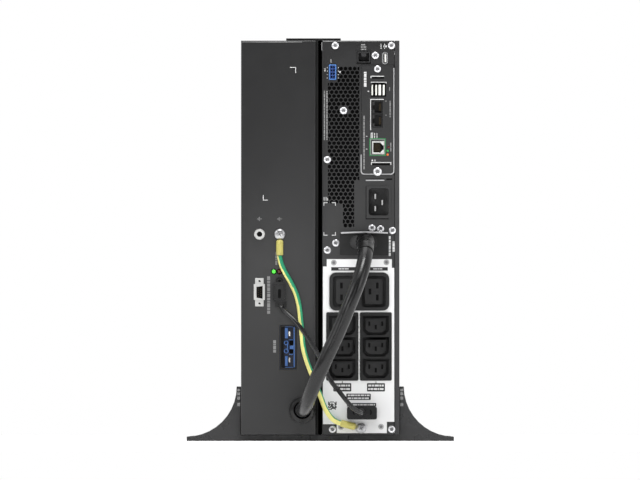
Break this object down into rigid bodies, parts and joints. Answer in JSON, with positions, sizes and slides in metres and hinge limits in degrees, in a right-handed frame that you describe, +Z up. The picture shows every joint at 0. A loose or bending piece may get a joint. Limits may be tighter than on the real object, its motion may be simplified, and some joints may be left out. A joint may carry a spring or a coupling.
{
  "type": "rackmount ups",
  "caption": "Rack-format UPS and matching battery pack stood on edge as a tower, with outlets, network card, ground wire and battery cables at the rear.",
  "frame": {"origin": "centre of the base on the floor, cords left out", "axes": "+Z up, rear panels face -Y, front bezels face +Y, +X from the battery pack to the UPS"},
  "size_m": [0.2934, 0.6981, 0.4418],
  "materials": {
    "paint": "dark grey fine textured powder coat",
    "bezel": "dark grey moulded plastic",
    "plastic": "near-black moulded plastic",
    "stand": "satin dark grey moulded plastic",
    "white_plate": "white printed plate",
    "zinc": "bright zinc plate",
    "blue_plastic": "blue moulded plastic",
    "cell_wrap": "blue cell wrap",
    "board": "green circuit board",
    "aluminium": "extruded aluminium",
    "capacitor": "black sleeve",
    "cable_rubber": "black cable jacket",
    "sleeve": "olive yellow heat-shrink sleeve",
    "ground_jacket": "green jacket with a yellow stripe",
    "green_lens": "green lens, lit",
    "red_lens": "dark red lens, unlit",
    "grey_button": "grey button",
    "jack_metal": "tinned shell"
  },
  "bodies": {
    "chassis": {"ups_base_tray": "paint", "ups_top_cover": "paint", "ups_rear_panel": "paint", "ups_main_board": "board", "heat_sink": "aluminium", "bus_capacitor": "capacitor", "fan_frame_1": "plastic", "fan_frame_2": "plastic", "outlet_plate": "white_plate", "c19_outlet_block": "plastic", "c13_outlet_block_left": "plastic", "c13_outlet_block_right": "plastic", "ac_inlet": "plastic", "epo_connector": "blue_plastic", "serial_jack": "plastic", "usb_port": "jack_metal", "ground_screw_ups": "zinc", "dc_receptacle": "plastic", "battery_base_tray": "paint", "battery_top_cover": "paint", "battery_rear_panel": "paint", "battery_cell_pack": "cell_wrap", "battery_management_board": "board", "ground_post": "zinc", "ground_screw_battery": "zinc", "monitor_port": "zinc", "status_led_green": "green_lens", "status_led_red": "red_lens", "dc_socket": "blue_plastic", "cable_grommet": "cable_rubber", "power_cable": "cable_rubber", "power_plug": "cable_rubber", "comm_cable": "cable_rubber", "comm_plug_battery": "plastic", "comm_plug_ups": "plastic", "ground_wire": "ground_jacket", "ground_lug_battery": "sleeve", "ground_lug_ups": "sleeve", "foot_rear_left": "stand", "foot_rear_right": "stand", "foot_rear_extension": "stand", "foot_front_left": "stand", "foot_front_right": "stand", "foot_front_extension": "stand", "top_joining_plate": "paint"},
    "ups_bezel": {"ups_front_bezel": "bezel"},
    "battery_bezel": {"battery_front_bezel": "bezel"},
    "display": {"display_panel": "bezel"},
    "power_button": {"power_button": "grey_button"},
    "escape_button": {"escape_button": "grey_button"},
    "ok_button": {"ok_button": "grey_button"},
    "up_button": {"up_button": "grey_button"},
    "down_button": {"down_button": "grey_button"},
    "fan_1": {"fan_rotor_1": "plastic"},
    "fan_2": {"fan_rotor_2": "plastic"},
    "network_card": {"card_faceplate": "paint", "card_board": "board", "card_ethernet_jack": "jack_metal", "card_usb_jack": "jack_metal", "card_io_jacks": "plastic"}
  },
  "joints": [
    {"name": "ups_bezel_slide", "type": "slide", "parent": "chassis", "child": "ups_bezel", "axis": [0, 1, 0], "range_m": [0, 0.05]},
    {"name": "battery_bezel_slide", "type": "slide", "parent": "chassis", "child": "battery_bezel", "axis": [0, 1, 0], "range_m": [0, 0.05]},
    {"name": "display_tilt", "type": "hinge", "parent": "ups_bezel", "child": "display", "pos_m": [0.0442, 0.2965, 0.2865], "axis": [1, 0, 0], "range_deg": [0, 18]},
    {"name": "power_button_press", "type": "slide", "parent": "display", "child": "power_button", "axis": [0, -1, 0], "range_m": [0, 0.001], "stiffness_N_per_m": 400},
    {"name": "escape_button_press", "type": "slide", "parent": "display", "child": "escape_button", "axis": [0, -1, 0], "range_m": [0, 0.001], "stiffness_N_per_m": 400},
    {"name": "ok_button_press", "type": "slide", "parent": "display", "child": "ok_button", "axis": [0, -1, 0], "range_m": [0, 0.001], "stiffness_N_per_m": 400},
    {"name": "up_button_press", "type": "slide", "parent": "display", "child": "up_button", "axis": [0, -1, 0], "range_m": [0, 0.001], "stiffness_N_per_m": 400},
    {"name": "down_button_press", "type": "slide", "parent": "display", "child": "down_button", "axis": [0, -1, 0], "range_m": [0, 0.001], "stiffness_N_per_m": 400},
    {"name": "fan_1_spin", "type": "hinge", "parent": "chassis", "child": "fan_1", "pos_m": [0.0442, 0.2455, 0.125], "axis": [0, 1, 0], "continuous": true},
    {"name": "fan_2_spin", "type": "hinge", "parent": "chassis", "child": "fan_2", "pos_m": [0.0442, 0.2455, 0.335], "axis": [0, 1, 0], "continuous": true},
    {"name": "network_card_slide", "type": "slide", "parent": "chassis", "child": "network_card", "axis": [0, -1, 0], "range_m": [0, 0.13]}
  ]
}
